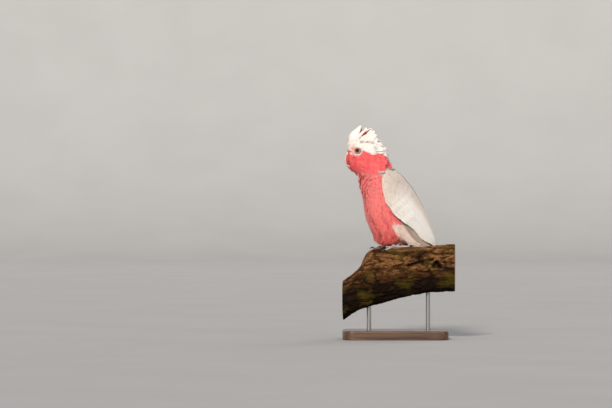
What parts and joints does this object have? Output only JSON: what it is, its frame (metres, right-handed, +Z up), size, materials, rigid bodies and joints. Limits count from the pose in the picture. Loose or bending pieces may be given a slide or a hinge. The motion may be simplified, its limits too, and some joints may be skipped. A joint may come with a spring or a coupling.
{
  "type": "galah cockatoo standing on a cut branch, life-size still model on a display stand",
  "caption": "Still, life-size galah with raised crest and folded wings, gripping a cut length of branch on a small display stand.",
  "frame": {"origin": "centre of the display base's underside, on the floor", "axes": "+Z up; +X along the branch, away from the side that the bird's head looks to; the bird's left side faces -Y"},
  "size_m": [0.228, 0.1756, 0.4258],
  "materials": {
    "rose_pink_plumage": "soft matt feathers, rose pink with paler tips",
    "breast_plumage": "soft loose feathers, salmon pink above and deeper rose on the belly",
    "crest_plumage": "soft matt feathers, white with a pink flush at the roots",
    "wing_plumage": "smooth overlapping feathers, pale silver grey",
    "flight_feathers": "firm long feathers, dark grey brown with paler edges",
    "vent_plumage": "soft loose feathers, pale grey with a pink tinge",
    "bill_horn": "horn, bone white, smooth with fine growth lines",
    "dark_eye": "wet glossy dark brown",
    "leg_skin": "scaly grey skin, matt",
    "claw_horn": "dark horn, slightly polished",
    "old_bark": "weathered brown bark and dead wood with moss, very rough",
    "base_wood": "dark stained wood, satin",
    "rod_steel": "satin steel"
  },
  "bodies": {
    "root": {"head": "rose_pink_plumage", "neck": "rose_pink_plumage", "trunk": "breast_plumage", "crest": "crest_plumage", "wing_left": "wing_plumage", "wing_right": "wing_plumage", "primaries_left": "flight_feathers", "primaries_right": "flight_feathers", "tail": "flight_feathers", "thigh_left": "vent_plumage", "thigh_right": "vent_plumage", "bill_upper": "bill_horn", "bill_lower": "bill_horn", "eye_left": "dark_eye", "eye_right": "dark_eye", "leg_left": "leg_skin", "leg_right": "leg_skin", "perch_branch": "old_bark", "stand_base": "base_wood", "stand_rod_left": "rod_steel", "stand_rod_right": "rod_steel", "claw_left_inner_front": "claw_horn", "claw_left_outer_front": "claw_horn", "claw_left_inner_back": "claw_horn", "claw_left_outer_back": "claw_horn", "claw_right_inner_front": "claw_horn", "claw_right_outer_front": "claw_horn", "claw_right_inner_back": "claw_horn", "claw_right_outer_back": "claw_horn"}
  },
  "joints": []
}
